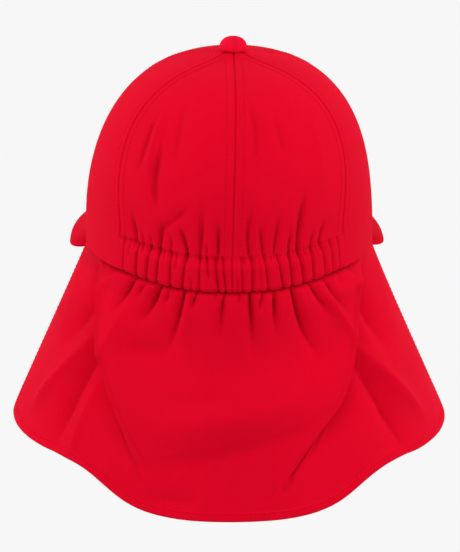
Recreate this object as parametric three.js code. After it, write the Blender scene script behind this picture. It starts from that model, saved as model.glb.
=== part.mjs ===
// Child's legionnaire cap in red cotton: a crown of six panels with a covered button, an elastic
// casing gathered across the back, a peak in front and a long neck flap with a turned hem.
// Millimetres, +Z up. The origin is the centre of the head opening, in the plane of the crown's
// lower rim. The peak points to -Y, the back of the head to +Y, the wearer's left to +X.
import * as THREE from 'three';

// Driving dimensions
const crownHalfWidth = 76.3;
const crownHalfLength = 91;
const crownHeight = 101.5;
const crownLean = 2.2;          // the apex leans this far towards the wearer's right
const domeFullness = 2.64;      // exponent of the dome's oval profile: 2 is an ellipse, more is squarer
const apexRise = 2.6;           // the bunched seams lift the cloth under the button
const apexSpread = 13;
const frontLift = 5;            // the rim arches up over the peak
const clothWall = 1.2;
const seamSink = 0.9;           // a panel's edge turns in by this at its seams
const seamShoulder = 2.6;       // width of the rounded edge beside a seam
const seamRunOut = 10;          // the seams lie flat at the rim and sink in over this height
const pieceGap = 0.3;

const rearSeamTurn = 50;        // degrees from the centre back, at the rim
const frontSeamTurn = 120;
const seamBow = 8.5;            // degrees by which the side-back seams bow forward at mid-height

const casingHeight = 20;
const casingPinch = 2.8;        // how far the elastic pulls the crown in, just above the casing
const casingPinchReach = 22;
const casingDepth = 4.8;        // from the rim oval in to the casing's inner face
const casingRidge = 1.2;        // the puffed ribs stand out past the rim oval by this
const casingEdgeSink = 0.9;
const casingValley = 2.3;       // depth of a full rib valley
const casingValleyWidth = 2.6;

const crownFoldDepth = 3.0;
const crownFoldWidth = 9;
const crownFoldRunOut = 8;      // the folds grow shallower over this height above the casing
const crownFoldKept = 0.4;      // share of their depth that is left where they reach it

const buttonDiameter = 14.4;
const buttonHeight = 8.2;
const buttonStemDiameter = 3.2;
const buttonStemLength = 2.4;

const flapTopTurn = 106;        // degrees from the centre back to the flap's front edge, at the rim
const flapHemTurn = 97;         // the same at the hem
const flapFlareSide = 40.2;     // how far the hem stands out past the rim at the sides
const flapFlareBack = 21;       // the same at the back
const flapSideEase = 1.02;      // exponent of the flare down the sides: above 1 it hangs straighter first
const flapBackEase = 1.7;       // the same for the back, counted up from the hem
const flapDropBack = 116;
const flapDropSide = 95.5;
const flapTuck = 5.5;           // the flap's top edge is sewn this far up inside the rim
const tuckGap = 0.4;
const flapCornerRadius = 16;
const hemWidth = 5;
const hemThickness = 2.2;
const hemStep = 0.4;            // the hem's inner edge steps down over twice this
const bagLift = 5;              // the gathered middle stands proud of the side wings by this
const bagEdgeWidth = 7;
const flapFoldDepth = 4;
const flapFoldWidth = 9;
const gatherDepth = 1.5;        // small gathers right under the casing
const gatherWidth = 3.2;
const gatherDrop = 9;

const peakThickness = 3;
const peakReach = 57;           // from the rim's front to the peak's tip
const peakSideReach = 9.7;      // how far the peak's rear corners stand out past the rim
const peakCornerSetback = 46;   // how far the widest place lies in front of the origin
const peakCornerRadius = 10;
const peakCornerTurn = 100;     // degrees that the rear corner turns through
const peakFrontShare = 0.86;    // share of the peak's seam that its front edge takes, without the corners
const peakTurn = 68;            // degrees from the centre front to the end of the peak's seam
const peakFullness = 2.3;
const peakCornerDrop = 14;
const peakCornerClimb = 0.35;   // share of that drop that the corner climbs back to the seam
const peakTipDrop = 10;
const peakCamber = 2.5;         // the board bulges up this far halfway out

// Casing ribs. Shares of the casing's half width (top and foot), of casingValley, and the
// length of the gather that runs on up the crown, as a share of casingPinchReach.
const casingRibs = [
  { top: 0.90, foot: 0.92, depth: 0.70, gather: 0.2 },
  { top: 0.79, foot: 0.80, depth: 0.95, gather: 0.4 },
  { top: 0.67, foot: 0.70, depth: 0.85, gather: 0.3 },
  { top: 0.58, foot: 0.60, depth: 1.00, gather: 0.7 },
  { top: 0.475, foot: 0.49, depth: 0.85, gather: 0.4 },
  { top: 0.37, foot: 0.39, depth: 1.00, gather: 0.8 },
  { top: 0.25, foot: 0.27, depth: 0.90, gather: 0.5 },
  { top: 0.15, foot: 0.10, depth: 1.00, gather: 0.7 },
  { top: 0.055, foot: 0.045, depth: 0.60, gather: 0.2 },
  { top: -0.06, foot: -0.06, depth: 0.60, gather: 0.2 },
  { top: -0.13, foot: -0.14, depth: 0.95, gather: 0.9 },
  { top: -0.23, foot: -0.25, depth: 0.90, gather: 0.4 },
  { top: -0.32, foot: -0.37, depth: 1.00, gather: 0.7 },
  { top: -0.43, foot: -0.47, depth: 0.90, gather: 0.4 },
  { top: -0.52, foot: -0.57, depth: 0.95, gather: 0.6 },
  { top: -0.62, foot: -0.67, depth: 0.90, gather: 0.4 },
  { top: -0.74, foot: -0.76, depth: 1.00, gather: 0.5 },
  { top: -0.83, foot: -0.85, depth: 0.80, gather: 0.3 },
  { top: -0.91, foot: -0.94, depth: 0.70, gather: 0.2 },
];

// Folds in the crown's back, above the casing: both ends as shares of rearSeamTurn and of
// crownHeight, then width and depth as shares of crownFoldWidth and crownFoldDepth.
const crownFolds = [
  { turn0: 0.89, rise0: 0.76, turn1: 0.88, rise1: 0.58, width: 0.5, depth: -0.35 },
  { turn0: 0.83, rise0: 0.83, turn1: 0.79, rise1: 0.52, width: 0.7, depth: 0.35 },
  { turn0: 0.70, rise0: 0.60, turn1: 0.64, rise1: 0.38, width: 0.8, depth: -0.80 },
  { turn0: 0.36, rise0: 0.42, turn1: 0.60, rise1: 0.29, width: 0.7, depth: -0.50 },
  { turn0: 0.62, rise0: 0.80, turn1: 0.54, rise1: 0.62, width: 1.0, depth: -0.30 },
  { turn0: 0.29, rise0: 0.44, turn1: 0.25, rise1: 0.23, width: 0.8, depth: -0.60 },
  { turn0: -0.70, rise0: 0.52, turn1: -0.45, rise1: 0.26, width: 0.8, depth: -0.60 },
  { turn0: -0.20, rise0: 0.44, turn1: -0.13, rise1: 0.23, width: 0.7, depth: -0.50 },
  { turn0: -0.86, rise0: 0.72, turn1: -0.80, rise1: 0.45, width: 1.0, depth: 0.30 },
];

// Outline of the flap's gathered middle: share of the drop, then shares of the half width.
const bagEdges = [
  { drop: 0.00, left: 0.715, right: 0.700 },
  { drop: 0.10, left: 0.610, right: 0.575 },
  { drop: 0.23, left: 0.569, right: 0.505 },
  { drop: 0.34, left: 0.535, right: 0.473 },
  { drop: 0.46, left: 0.485, right: 0.425 },
  { drop: 0.60, left: 0.420, right: 0.350 },
  { drop: 0.70, left: 0.362, right: 0.262 },
  { drop: 0.80, left: 0.300, right: 0.180 },
  { drop: 0.92, left: 0.228, right: 0.110 },
  { drop: 1.00, left: 0.200, right: 0.080 },
];

// Height of the hem on both sides, as shares of the half width from the centre back and of the
// extra drop that the flap has there over its sides.
const hemDips = [
  { turn: 0.00, left: 1.00, right: 1.00 },
  { turn: 0.13, left: 1.00, right: 1.00 },
  { turn: 0.20, left: 0.95, right: 0.95 },
  { turn: 0.25, left: 0.86, right: 0.86 },
  { turn: 0.30, left: 0.70, right: 0.70 },
  { turn: 0.35, left: 0.43, right: 0.43 },
  { turn: 0.40, left: 0.17, right: 0.21 },
  { turn: 0.45, left: 0.03, right: 0.09 },
  { turn: 0.50, left: -0.03, right: 0.05 },
  { turn: 0.60, left: -0.03, right: 0.10 },
  { turn: 0.75, left: -0.01, right: 0.12 },
  { turn: 1.00, left: 0.00, right: 0.12 },
];

// Folds in the flap, each along three places: turns as shares of the half width, drops as shares
// of the drop, then width and depth as shares of flapFoldWidth and flapFoldDepth.
const flapFolds = [
  { turn0: 0.38, drop0: 0.00, turn1: 0.40, drop1: 0.06, turn2: 0.42, drop2: 0.11, width: 0.5, depth: -0.5 },
  { turn0: 0.30, drop0: 0.00, turn1: 0.32, drop1: 0.09, turn2: 0.34, drop2: 0.18, width: 0.6, depth: -0.6 },
  { turn0: 0.19, drop0: 0.00, turn1: 0.20, drop1: 0.13, turn2: 0.26, drop2: 0.31, width: 0.7, depth: -0.9 },
  { turn0: 0.11, drop0: 0.00, turn1: 0.12, drop1: 0.08, turn2: 0.14, drop2: 0.15, width: 0.5, depth: -0.4 },
  { turn0: 0.04, drop0: 0.00, turn1: 0.04, drop1: 0.10, turn2: 0.05, drop2: 0.19, width: 0.6, depth: -0.6 },
  { turn0: -0.065, drop0: 0.00, turn1: -0.07, drop1: 0.13, turn2: -0.07, drop2: 0.27, width: 0.6, depth: -0.8 },
  { turn0: -0.15, drop0: 0.00, turn1: -0.15, drop1: 0.09, turn2: -0.14, drop2: 0.18, width: 0.5, depth: -0.6 },
  { turn0: -0.22, drop0: 0.00, turn1: -0.28, drop1: 0.21, turn2: -0.31, drop2: 0.38, width: 0.8, depth: -0.9 },
  { turn0: -0.31, drop0: 0.00, turn1: -0.34, drop1: 0.10, turn2: -0.37, drop2: 0.19, width: 0.5, depth: -0.5 },
  { turn0: -0.40, drop0: 0.00, turn1: -0.43, drop1: 0.09, turn2: -0.46, drop2: 0.16, width: 0.5, depth: -0.4 },
  { turn0: 0.40, drop0: 0.16, turn1: 0.42, drop1: 0.28, turn2: 0.47, drop2: 0.42, width: 0.8, depth: 0.5 },
  { turn0: 0.15, drop0: 0.04, turn1: 0.17, drop1: 0.10, turn2: 0.18, drop2: 0.17, width: 0.6, depth: 0.4 },
  { turn0: -0.35, drop0: 0.05, turn1: -0.40, drop1: 0.17, turn2: -0.45, drop2: 0.33, width: 0.8, depth: 0.5 },
  { turn0: 0.70, drop0: 0.08, turn1: 0.69, drop1: 0.20, turn2: 0.68, drop2: 0.34, width: 1.0, depth: -0.7 },
  { turn0: 0.57, drop0: 0.33, turn1: 0.65, drop1: 0.62, turn2: 0.81, drop2: 0.85, width: 1.1, depth: 0.9 },
  { turn0: 0.56, drop0: 0.42, turn1: 0.56, drop1: 0.62, turn2: 0.55, drop2: 0.90, width: 1.0, depth: -0.9 },
  { turn0: 0.49, drop0: 0.64, turn1: 0.49, drop1: 0.75, turn2: 0.49, drop2: 0.88, width: 0.9, depth: 0.5 },
  { turn0: -0.66, drop0: 0.06, turn1: -0.66, drop1: 0.14, turn2: -0.67, drop2: 0.26, width: 1.0, depth: -0.7 },
  { turn0: -0.49, drop0: 0.33, turn1: -0.57, drop1: 0.60, turn2: -0.73, drop2: 0.87, width: 1.1, depth: 0.9 },
  { turn0: -0.46, drop0: 0.46, turn1: -0.48, drop1: 0.66, turn2: -0.54, drop2: 0.90, width: 1.0, depth: -0.9 },
  { turn0: 0.22, drop0: 0.46, turn1: 0.12, drop1: 0.46, turn2: 0.01, drop2: 0.44, width: 1.2, depth: -0.4 },
  { turn0: 0.20, drop0: 0.77, turn1: 0.03, drop1: 0.69, turn2: -0.20, drop2: 0.62, width: 1.4, depth: -0.8 },
  { turn0: 0.16, drop0: 0.66, turn1: 0.04, drop1: 0.59, turn2: -0.10, drop2: 0.54, width: 1.3, depth: 0.5 },
  { turn0: 0.12, drop0: 0.86, turn1: 0.00, drop1: 0.82, turn2: -0.12, drop2: 0.78, width: 1.3, depth: 0.5 },
];

// Mesh density: cells across and down each piece
const panelCellsDown = 13;
const backPanelCellsAcross = 16;
const sidePanelCellsAcross = 12;
const frontPanelCellsAcross = 10;
const casingCells = { across: 70, down: 5 };
const flapCells = { across: 46, down: 10 };
const peakCells = { front: 20, corner: 5, down: 5 };
const buttonSides = 20;
const buttonRings = 6;

const radians = THREE.MathUtils.degToRad;
const ease = THREE.MathUtils.smoothstep;

/** A value read from a table by straight lines between its rows. */
function readTable(rows, key, value, at) {
  for (let k = 1; k < rows.length; k += 1) {
    const low = rows[k - 1];
    const high = rows[k];
    if (at <= high[key]) {
      const share = Math.max(0, (at - low[key]) / (high[key] - low[key]));
      return low[value] + (high[value] - low[value]) * share;
    }
  }
  return rows[rows.length - 1][value];
}

/** Distance in a plane from the point (x, y) to the stretch between two points. */
function distanceToStretch(x, y, x0, y0, x1, y1) {
  const length2 = (x1 - x0) ** 2 + (y1 - y0) ** 2;
  const along = length2 > 0 ? ((x - x0) * (x1 - x0) + (y - y0) * (y1 - y0)) / length2 : 0;
  const share = Math.min(1, Math.max(0, along));
  return Math.hypot(x - x0 - share * (x1 - x0), y - y0 - share * (y1 - y0));
}

/** A rounded valley or ridge: full on its line, dying away with the distance from it. */
function foldShape(distance, width) {
  return Math.exp(-((distance / width) ** 2));
}

/** Evenly spaced values from one end to the other, over the nearest whole number of cells. */
function steps(from, to, cells) {
  const whole = Math.round(cells);
  return Array.from({ length: whole + 1 }, (_, k) => from + ((to - from) * k) / whole);
}

/** A closed wall between an outer and an inner grid of points, columns clockwise, rows downward. */
function closedWall(columns, rows, outerPoint, innerPoint) {
  const places = [];
  for (const pointAt of [outerPoint, innerPoint]) {
    for (const column of columns) {
      for (const row of rows) places.push(...pointAt(column, row).toArray());
    }
  }
  const down = rows.length;
  const across = columns.length;
  const outer = (i, j) => i * down + j;
  const inner = (i, j) => across * down + outer(i, j);
  const faces = [];
  const quad = (a, b, c, d) => faces.push(a, b, c, a, c, d);
  for (let i = 0; i < across - 1; i += 1) {
    for (let j = 0; j < down - 1; j += 1) {
      quad(outer(i, j), outer(i + 1, j), outer(i + 1, j + 1), outer(i, j + 1));
      quad(inner(i, j), inner(i, j + 1), inner(i + 1, j + 1), inner(i + 1, j));
    }
    quad(outer(i, 0), inner(i, 0), inner(i + 1, 0), outer(i + 1, 0));
    quad(outer(i, down - 1), outer(i + 1, down - 1), inner(i + 1, down - 1), inner(i, down - 1));
  }
  for (let j = 0; j < down - 1; j += 1) {
    quad(outer(0, j), outer(0, j + 1), inner(0, j + 1), inner(0, j));
    quad(outer(across - 1, j), inner(across - 1, j), inner(across - 1, j + 1), outer(across - 1, j + 1));
  }
  const geometry = new THREE.BufferGeometry();
  geometry.setAttribute('position', new THREE.Float32BufferAttribute(places, 3));
  geometry.setIndex(faces);
  geometry.computeVertexNormals();
  return geometry;
}

/** The red cotton of one piece; thicker pieces catch the light a little differently. */
function cotton(roughness) {
  return new THREE.MeshStandardMaterial({ color: 0xd70c28, roughness, metalness: 0, side: THREE.DoubleSide });
}

function namedMesh(name, geometry, roughness) {
  const mesh = new THREE.Mesh(geometry, cotton(roughness));
  mesh.name = name;
  return mesh;
}

// The dome that the crown is cut to

/** How high on the dome's profile (0 rim, 1 apex) a given height lies. */
function riseAtHeight(height) {
  return Math.asin((height / crownHeight) ** (domeFullness / 2)) / (Math.PI / 2);
}

/** How high on the dome's profile its oval has shrunk to this share of the rim. */
function riseAtShrink(shrink) {
  return Math.acos(shrink ** (domeFullness / 2)) / (Math.PI / 2);
}

/** The smooth dome: an oval rim carried up a rounded profile, leaning a little above the casing. */
function domePoint(turn, rise) {
  const shrink = Math.cos((rise * Math.PI) / 2) ** (2 / domeFullness);
  const x = crownHalfWidth * shrink * Math.sin(radians(turn));
  const y = crownHalfLength * shrink * Math.cos(radians(turn));
  const height = domeHeight(rise);
  const lean = crownLean * ease(height, casingHeight, crownHeight);
  const hump = apexRise * foldShape(Math.hypot(x, y), apexSpread);
  return new THREE.Vector3(x - lean, y, height + hump + rimLift(turn) * (1 - height / crownHeight) ** 2);
}

/** Height of the dome's profile at a rise from 0, the rim, to 1, the apex. */
function domeHeight(rise) {
  return crownHeight * Math.sin((rise * Math.PI) / 2) ** (2 / domeFullness);
}

/** Height of the rim above its plane: it arches up over the peak. */
function rimLift(turn) {
  const fromBack = Math.min(Math.abs(turn), 360 - Math.abs(turn));
  return frontLift * ease(fromBack, 180 - peakTurn, 180);
}

/** Outward direction of the dome, square to its surface. */
function domeNormal(turn, rise) {
  const angle = (rise * Math.PI) / 2;
  const flat = Math.cos(angle) ** (2 - 2 / domeFullness);
  const steep = Math.sin(angle) ** (2 - 2 / domeFullness);
  return new THREE.Vector3(
    (Math.sin(radians(turn)) * flat) / crownHalfWidth,
    (Math.cos(radians(turn)) * flat) / crownHalfLength,
    steep / crownHeight,
  ).normalize();
}

/** Turn of the seam between a back and a side panel: it bows forward at mid-height. */
function rearSeam(rise) {
  const bow = seamBow * Math.sin(Math.PI * Math.min(1, Math.max(0, rise - 0.1) / 0.85));
  return rearSeamTurn + bow;
}

/** How far the cloth of the crown stands out from the dome, or lies in behind it. */
function crownRelief(turn, rise) {
  const height = domeHeight(rise);
  const pulled =1 - ease(Math.abs(turn), rearSeamTurn * 0.55, rearSeamTurn * 1.3);
  let relief = -casingPinch * pulled * foldShape(Math.max(0, height - casingHeight), casingPinchReach);
  const perTurn = radians(1) * crownHalfLength;
  const kept = crownFoldKept + (1 - crownFoldKept) * ease(height - casingHeight, 0, crownFoldRunOut);
  for (const fold of crownFolds) {
    const away = distanceToStretch(
      turn * perTurn, height,
      fold.turn0 * rearSeamTurn * perTurn, fold.rise0 * crownHeight,
      fold.turn1 * rearSeamTurn * perTurn, fold.rise1 * crownHeight,
    );
    relief += fold.depth * kept * crownFoldDepth * foldShape(away, fold.width * crownFoldWidth);
  }
  for (const rib of casingRibs) {
    const away = distanceToStretch(
      turn * perTurn, height,
      rib.top * rearSeamTurn * perTurn, casingHeight,
      rib.top * rearSeamTurn * perTurn, casingHeight + rib.gather * casingPinchReach,
    );
    relief -= 0.5 * rib.depth * casingValley * foldShape(away, casingValleyWidth);
  }
  return relief;
}

/** One panel of the crown, from the seam on one side to the seam on the other. */
function crownPanel(name, seamBefore, seamAfter, rises, across) {
  const place = (share, rise, depth) => {
    const before = seamBefore(rise);
    const after = seamAfter(rise);
    const middle = domePoint((before + after) / 2, rise);
    const lean = domePoint(0, rise).x;
    const perTurn = radians(1) * Math.max(1, Math.hypot(middle.x - lean, middle.y));
    const clear = pieceGap / 2 / perTurn;
    const turn = before + clear + (after - before - 2 * clear) * share;
    const edge = Math.min(turn - before, after - turn) * perTurn;
    const aboveTuck = Math.max(0, domePoint(turn, rise).z - flapTuck);
    const sink = seamSink * foldShape(edge, seamShoulder) * ease(aboveTuck, 0, seamRunOut);
    const normal = domeNormal(turn, rise);
    return domePoint(turn, rise).addScaledVector(normal, crownRelief(turn, rise) - sink - depth);
  };
  const spread = steps(0, 1, across - 2);
  const shares = [0, spread[1] * 0.4, ...spread.slice(1, -1), 1 - spread[1] * 0.4, 1];
  return namedMesh(name, closedWall(
    shares, rises,
    (share, rise) => place(share, rise, 0),
    (share, rise) => place(share, rise, clothWall),
  ), 0.85);
}

/** The six panels: two above the casing, and four whose lower edge is the rim itself. */
function crownPanels() {
  const top = riseAtShrink((buttonStemDiameter / 2 + pieceGap) / crownHalfWidth);
  const toCasing = steps(top, riseAtHeight(casingHeight + pieceGap), panelCellsDown);
  const toRim = [...toCasing, riseAtHeight(flapTuck + pieceGap), 0];
  const back = () => 0;
  const front = () => 180;
  const frontSeam = () => frontSeamTurn;
  const mirrored = (seam) => (rise) => -seam(rise);
  const backCells = backPanelCellsAcross;
  const sideCells = sidePanelCellsAcross;
  const frontCells = frontPanelCellsAcross;
  return [
    crownPanel('crown_panel_back_left', back, rearSeam, toCasing, backCells),
    crownPanel('crown_panel_side_left', rearSeam, frontSeam, toRim, sideCells),
    crownPanel('crown_panel_front_left', frontSeam, front, toRim, frontCells),
    crownPanel('crown_panel_back_right', mirrored(rearSeam), back, toCasing, backCells),
    crownPanel('crown_panel_side_right', mirrored(frontSeam), mirrored(rearSeam), toRim, sideCells),
    crownPanel('crown_panel_front_right', mirrored(front), mirrored(frontSeam), toRim, frontCells),
  ];
}

// The covered button on the apex

/** A cloth-covered dome on a short stem that drops through the hole where the panels meet. */
function crownButton() {
  const seat = crownHeight + apexRise - 0.8 * seamSink + pieceGap;
  const radius = buttonDiameter / 2;
  const skirt = 0.35 * buttonHeight;
  const profile = [
    new THREE.Vector2(0, -buttonStemLength),
    new THREE.Vector2(buttonStemDiameter / 2 - pieceGap, -buttonStemLength),
    new THREE.Vector2(buttonStemDiameter / 2 - pieceGap, 0),
    new THREE.Vector2(radius * 0.86, 0),
  ];
  for (const share of steps(0, 1, buttonRings)) {
    const angle = (share * Math.PI) / 2;
    profile.push(new THREE.Vector2(
      share === 1 ? 0 : radius * Math.cos(angle) ** 0.8,
      skirt + (buttonHeight - skirt) * Math.sin(angle),
    ));
  }
  const geometry = new THREE.LatheGeometry(profile, buttonSides);
  geometry.rotateX(Math.PI / 2);
  const button = namedMesh('crown_button', geometry, 0.8);
  button.position.set(-crownLean, 0, seat);
  return button;
}

// The elastic casing across the back

/** Radial place beside the rim oval: outward is positive, on the oval is zero. */
function besideRim(turn, outward, height) {
  const normal = domeNormal(turn, 0);
  return domePoint(turn, 0).setZ(height).addScaledVector(normal, outward);
}

/** A cloth tube round an elastic: puffed ribs between slanting valleys, stitched at both edges. */
function elasticCasing() {
  const end = rearSeamTurn - pieceGap / 2 / (radians(1) * crownHalfWidth);
  const perTurn = radians(1) * crownHalfLength;
  const ridge = (turn, share) => {
    const puff = Math.sin(Math.PI * share) ** 0.5;
    const level = crownRelief(end, 0) * ease(Math.abs(turn), 0.75 * end, end);
    let outward = level - casingEdgeSink + (casingRidge + casingEdgeSink) * puff;
    for (const rib of casingRibs) {
      const middle = (rib.foot + (rib.top - rib.foot) * share) * rearSeamTurn;
      outward -= rib.depth * casingValley * foldShape((turn - middle) * perTurn, casingValleyWidth);
    }
    return Math.max(outward, clothWall - casingDepth);
  };
  return namedMesh('elastic_casing', closedWall(
    steps(-end, end, casingCells.across), steps(1, 0, casingCells.down),
    (turn, share) => besideRim(turn, ridge(turn, share), share * casingHeight),
    (turn, share) => besideRim(turn, -casingDepth, share * casingHeight),
  ), 0.85);
}

// The neck flap

/** Squares a rounded corner: the last stretch of both edges is bent onto a quarter circle. */
function roundCorner(fromFront, fromHem) {
  if (fromFront >= flapCornerRadius || fromHem >= flapCornerRadius) return [fromFront, fromHem];
  const i = 1 - fromFront / flapCornerRadius;
  const j = 1 - fromHem / flapCornerRadius;
  const reach = Math.max(i, j);
  const angle = i >= j ? (Math.PI / 4) * (j / i) : Math.PI / 2 - (Math.PI / 4) * (i / j);
  return [
    flapCornerRadius * (1 - reach * Math.cos(angle)),
    flapCornerRadius * (1 - reach * Math.sin(angle)),
  ];
}

/** Length of the flap from the rim to the hem, by share of its half width. */
function flapDrop(turnShare) {
  const side = turnShare > 0 ? 'left' : 'right';
  const dip = readTable(hemDips, 'turn', side, Math.abs(turnShare));
  return flapDropSide + (flapDropBack - flapDropSide) * dip;
}

/** Half width of the flap along the cloth, from the centre back to its front edge. */
function flapHalfWidth(dropShare) {
  const topArc = radians(flapTopTurn) * (crownHalfWidth + crownHalfLength) / 2;
  const hemArc = radians(flapHemTurn) * (crownHalfWidth + flapFlareSide + crownHalfLength + flapFlareBack) / 2;
  return topArc + (hemArc - topArc) * Math.max(0, dropShare);
}

/** How far in from the rim oval the flap is sewn: behind the casing, or behind the side panels. */
function flapInset(turn) {
  const behindCasing = 1 - ease(Math.abs(turn), rearSeamTurn + 1, rearSeamTurn + 8);
  const behindPanel = clothWall + tuckGap - crownRelief(turn, 0);
  return behindPanel + (casingDepth + tuckGap - behindPanel) * behindCasing;
}

/** The cloth's own relief: the proud gathered middle, the folds and the gathers under the casing. */
function flapRelief(turnShare, dropShare) {
  const halfWidth = flapHalfWidth(0.5);
  const x = turnShare * halfWidth;
  const y = dropShare * flapDropSide;
  const side = turnShare > 0 ? 'left' : 'right';
  const edge = readTable(bagEdges, 'drop', side, dropShare) * halfWidth;
  const bag = ease(edge - Math.abs(x), -bagEdgeWidth, bagEdgeWidth);
  let relief = bagLift * bag * ease(dropShare, 0, 0.14) * (1 - ease(dropShare, 0.6, 1));
  for (const fold of flapFolds) {
    const x0 = fold.turn0 * halfWidth;
    const x1 = fold.turn1 * halfWidth;
    const x2 = fold.turn2 * halfWidth;
    const y0 = fold.drop0 * flapDropSide;
    const y1 = fold.drop1 * flapDropSide;
    const y2 = fold.drop2 * flapDropSide;
    const away = Math.min(distanceToStretch(x, y, x0, y0, x1, y1), distanceToStretch(x, y, x1, y1, x2, y2));
    relief += fold.depth * flapFoldDepth * foldShape(away, fold.width * flapFoldWidth);
  }
  for (const rib of casingRibs) {
    const start = (rib.foot * rearSeamTurn) / flapTopTurn;
    const away = distanceToStretch(x, y, start * halfWidth, 0, start * 1.04 * halfWidth, gatherDrop);
    relief -= rib.depth * gatherDepth * foldShape(away, gatherWidth);
  }
  return relief * ease(dropShare, 0, 0.1) * (1 - 0.6 * ease(dropShare, 0.85, 1));
}

/** A place on the flap: a cone from the rim's oval out to the hem's, with the relief added. */
function flapPoint(turnShare, dropShare, depth) {
  const down = Math.max(0, dropShare);
  const turn = (flapTopTurn + (flapHemTurn - flapTopTurn) * down) * turnShare;
  const inset = flapInset(turn) * (1 - down);
  const spread = down ** flapSideEase;
  const hang = 1 - (1 - down) ** flapBackEase;
  const x = (crownHalfWidth - inset + flapFlareSide * spread) * Math.sin(radians(turn));
  const y = (crownHalfLength - inset + flapFlareBack * hang) * Math.cos(radians(turn));
  const z = dropShare < 0 ? -dropShare * flapTuck : -down * flapDrop(turnShare);
  const level = domeNormal(turn, 0);
  const outward = flapRelief(turnShare, down) - depth;
  return new THREE.Vector3(x, y, z).addScaledVector(level, outward);
}

/** Where a column and a row of the flap's mesh cross, and whether the turned hem is there. */
function flapCrossing(column, row) {
  const hemLine = row.fromHem ?? flapDropSide * (1 - row.share);
  const halfWidth = flapHalfWidth(1 - hemLine / flapDropSide);
  const frontLine = column.fromFront ?? halfWidth * (1 - Math.abs(column.share));
  const side = column.side ?? Math.sign(column.share);
  const [fromFront, fromHem] = roundCorner(frontLine, hemLine);
  const turnShare = side * (1 - fromFront / halfWidth);
  const dropShare = row.share ?? 1 - fromHem / flapDrop(turnShare);
  return { turnShare, dropShare, isHem: dropShare > 0 && Math.min(frontLine, hemLine) < hemWidth };
}

/** The flap: one layer of cloth, thicker where its hem is turned in along the open edges. */
function neckFlap() {
  const besideEdge = [0, hemThickness / 3, hemWidth - hemStep, hemWidth + hemStep,
    (hemWidth + flapCornerRadius) / 2, flapCornerRadius];
  const middle = 1 - flapCornerRadius / flapHalfWidth(0);
  const columns = [
    ...besideEdge.map((fromFront) => ({ side: -1, fromFront })),
    ...steps(-middle, middle, flapCells.across).slice(1, -1).map((share) => ({ share })),
    ...besideEdge.map((fromFront) => ({ side: 1, fromFront })).reverse(),
  ];
  const lowest = 1 - flapCornerRadius / flapDropSide;
  const rows = [
    { share: -1 },
    { share: 0 },
    ...steps(0.04, lowest, flapCells.down).slice(0, -1).map((share) => ({ share })),
    ...besideEdge.map((fromHem) => ({ fromHem })).reverse(),
  ];
  const face = (sign) => (column, row) => {
    const { turnShare, dropShare, isHem } = flapCrossing(column, row);
    const wall = isHem ? hemThickness : clothWall;
    return flapPoint(turnShare, dropShare, clothWall / 2 - (sign * wall) / 2);
  };
  return namedMesh('neck_flap', closedWall(columns, rows, face(1), face(-1)), 0.85);
}

// The peak

/** The peak's outer edge, from its tip (0) round to the end of its seam (1 or -1). */
function peakOutline(share) {
  const side = Math.sign(share);
  const halfWidth = crownHalfWidth + peakSideReach;
  if (Math.abs(share) <= peakFrontShare) {
    const sweep = (Math.abs(share / peakFrontShare) * Math.PI) / 2;
    const tip = crownHalfLength + peakReach - peakCornerSetback;
    return new THREE.Vector3(
      side * halfWidth * Math.sin(sweep) ** (2 / peakFullness),
      -peakCornerSetback - tip * Math.cos(sweep) ** (2 / peakFullness),
      -peakCornerDrop + (peakCornerDrop - peakTipDrop) * Math.cos(sweep),
    );
  }
  const past = (Math.abs(share) - peakFrontShare) / (1 - peakFrontShare);
  const angle = radians(peakCornerTurn) * past;
  return new THREE.Vector3(
    side * (halfWidth - peakCornerRadius * (1 - Math.cos(angle))),
    -peakCornerSetback + peakCornerRadius * Math.sin(angle),
    -peakCornerDrop * (1 - peakCornerClimb * past),
  );
}

/** The stiff peak: a curved board in cloth, its inner edge right under the crown's front rim. */
function peak() {
  const top = (share, outwardShare) => {
    const turn = 180 - peakTurn * share;
    const seat = domePoint(turn, 0).addScaledVector(domeNormal(turn, 0), -clothWall);
    seat.z -= pieceGap;
    const bulge = Math.sin(Math.PI * outwardShare) ** 2 * Math.cos(share * Math.PI * 0.4);
    return seat.lerp(peakOutline(share), outwardShare).add(new THREE.Vector3(0, 0, peakCamber * bulge));
  };
  const rounding = (outwardShare) => (outwardShare === 1 ? peakThickness / 4 : 0);
  const level = (height) => new THREE.Vector3(0, 0, height);
  const columns = [
    ...steps(1, peakFrontShare, peakCells.corner),
    ...steps(peakFrontShare, -peakFrontShare, peakCells.front).slice(1, -1),
    ...steps(-peakFrontShare, -1, peakCells.corner),
  ];
  return namedMesh('peak', closedWall(
    columns, [...steps(0, 0.97, peakCells.down), 1],
    (share, outwardShare) => top(share, outwardShare).add(level(-rounding(outwardShare))),
    (share, outwardShare) => top(share, outwardShare).add(level(rounding(outwardShare) - peakThickness)),
  ), 0.8);
}

const cap = new THREE.Group();
cap.add(...crownPanels(), crownButton(), elasticCasing(), neckFlap(), peak());

export default cap;
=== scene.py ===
# Child's legionnaire cap in red cotton twill, seen from behind and held up as a head holds it.
# Lengths are millimetres until a mesh is made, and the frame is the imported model's own:
# +Z up, the peak towards -Y, the back of the head towards +Y, the wearer's left towards +X.
import math

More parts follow.
